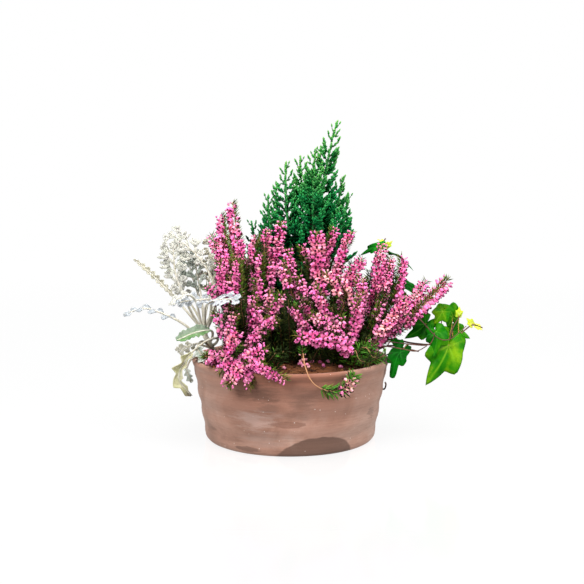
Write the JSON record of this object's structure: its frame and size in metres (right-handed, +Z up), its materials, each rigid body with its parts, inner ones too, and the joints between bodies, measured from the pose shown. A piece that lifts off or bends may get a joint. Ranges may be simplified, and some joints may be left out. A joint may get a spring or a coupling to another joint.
{
  "type": "planted grave bowl",
  "caption": "Round clay bowl planted with a dwarf cypress, pink winter heath, silver dusty miller and trailing ivy.",
  "frame": {"origin": "centre of the bowl's underside, on the surface it stands on", "axes": "+Z up, -Y towards the side seen from the front, +X to the right seen from the front"},
  "size_m": [0.452, 0.265, 0.401],
  "materials": {
    "washed_clay": "matte",
    "peat": "matte",
    "cypress_bark": "matte",
    "cypress_foliage": "matte",
    "miller_stem": "matte",
    "miller_felt": "matte",
    "miller_old_leaf": "matte",
    "ivy_vine": "matte",
    "ivy_leaf": "satin",
    "heath_shoot": "matte"
  },
  "bodies": {
    "root": {"bowl": "washed_clay", "peat": "peat", "cypress_trunk": "cypress_bark", "cypress_spray_1": "cypress_foliage", "cypress_spray_2": "cypress_foliage", "cypress_spray_3": "cypress_foliage", "cypress_spray_4": "cypress_foliage", "cypress_spray_5": "cypress_foliage", "cypress_spray_6": "cypress_foliage", "cypress_spray_7": "cypress_foliage", "cypress_spray_8": "cypress_foliage", "miller_stem": "miller_stem", "miller_leaf_01": "miller_felt", "miller_leaf_02": "miller_felt", "miller_leaf_03": "miller_felt", "miller_leaf_04": "miller_felt", "miller_leaf_05": "miller_felt", "miller_leaf_06": "miller_felt", "miller_leaf_07": "miller_felt", "miller_leaf_08": "miller_old_leaf", "miller_leaf_09": "miller_old_leaf", "miller_leaf_10": "miller_felt", "ivy_vine_1": "ivy_vine", "ivy_vine_2": "ivy_vine", "ivy_vine_3": "ivy_vine", "ivy_vine_4": "ivy_vine", "ivy_leaf_1": "ivy_leaf", "ivy_leaf_2": "ivy_leaf", "ivy_leaf_3": "ivy_leaf", "ivy_leaf_4": "ivy_leaf", "ivy_leaf_5": "ivy_leaf", "ivy_leaf_6": "ivy_leaf", "ivy_leaf_7": "ivy_leaf", "ivy_leaf_8": "ivy_leaf", "heath_shoot_01": "heath_shoot", "heath_shoot_02": "heath_shoot", "heath_shoot_03": "heath_shoot", "heath_shoot_04": "heath_shoot", "heath_shoot_05": "heath_shoot", "heath_shoot_06": "heath_shoot", "heath_shoot_07": "heath_shoot", "heath_shoot_08": "heath_shoot", "heath_shoot_09": "heath_shoot", "heath_shoot_10": "heath_shoot", "heath_shoot_11": "heath_shoot", "heath_shoot_12": "heath_shoot", "heath_shoot_13": "heath_shoot", "heath_shoot_14": "heath_shoot", "heath_shoot_15": "heath_shoot", "heath_shoot_16": "heath_shoot", "heath_shoot_17": "heath_shoot", "heath_shoot_18": "heath_shoot", "heath_shoot_19": "heath_shoot", "heath_shoot_20": "heath_shoot", "heath_shoot_21": "heath_shoot", "heath_shoot_22": "heath_shoot", "heath_shoot_23": "heath_shoot", "heath_shoot_24": "heath_shoot", "heath_shoot_25": "heath_shoot", "heath_trailing_shoot": "heath_shoot"}
  },
  "joints": []
}
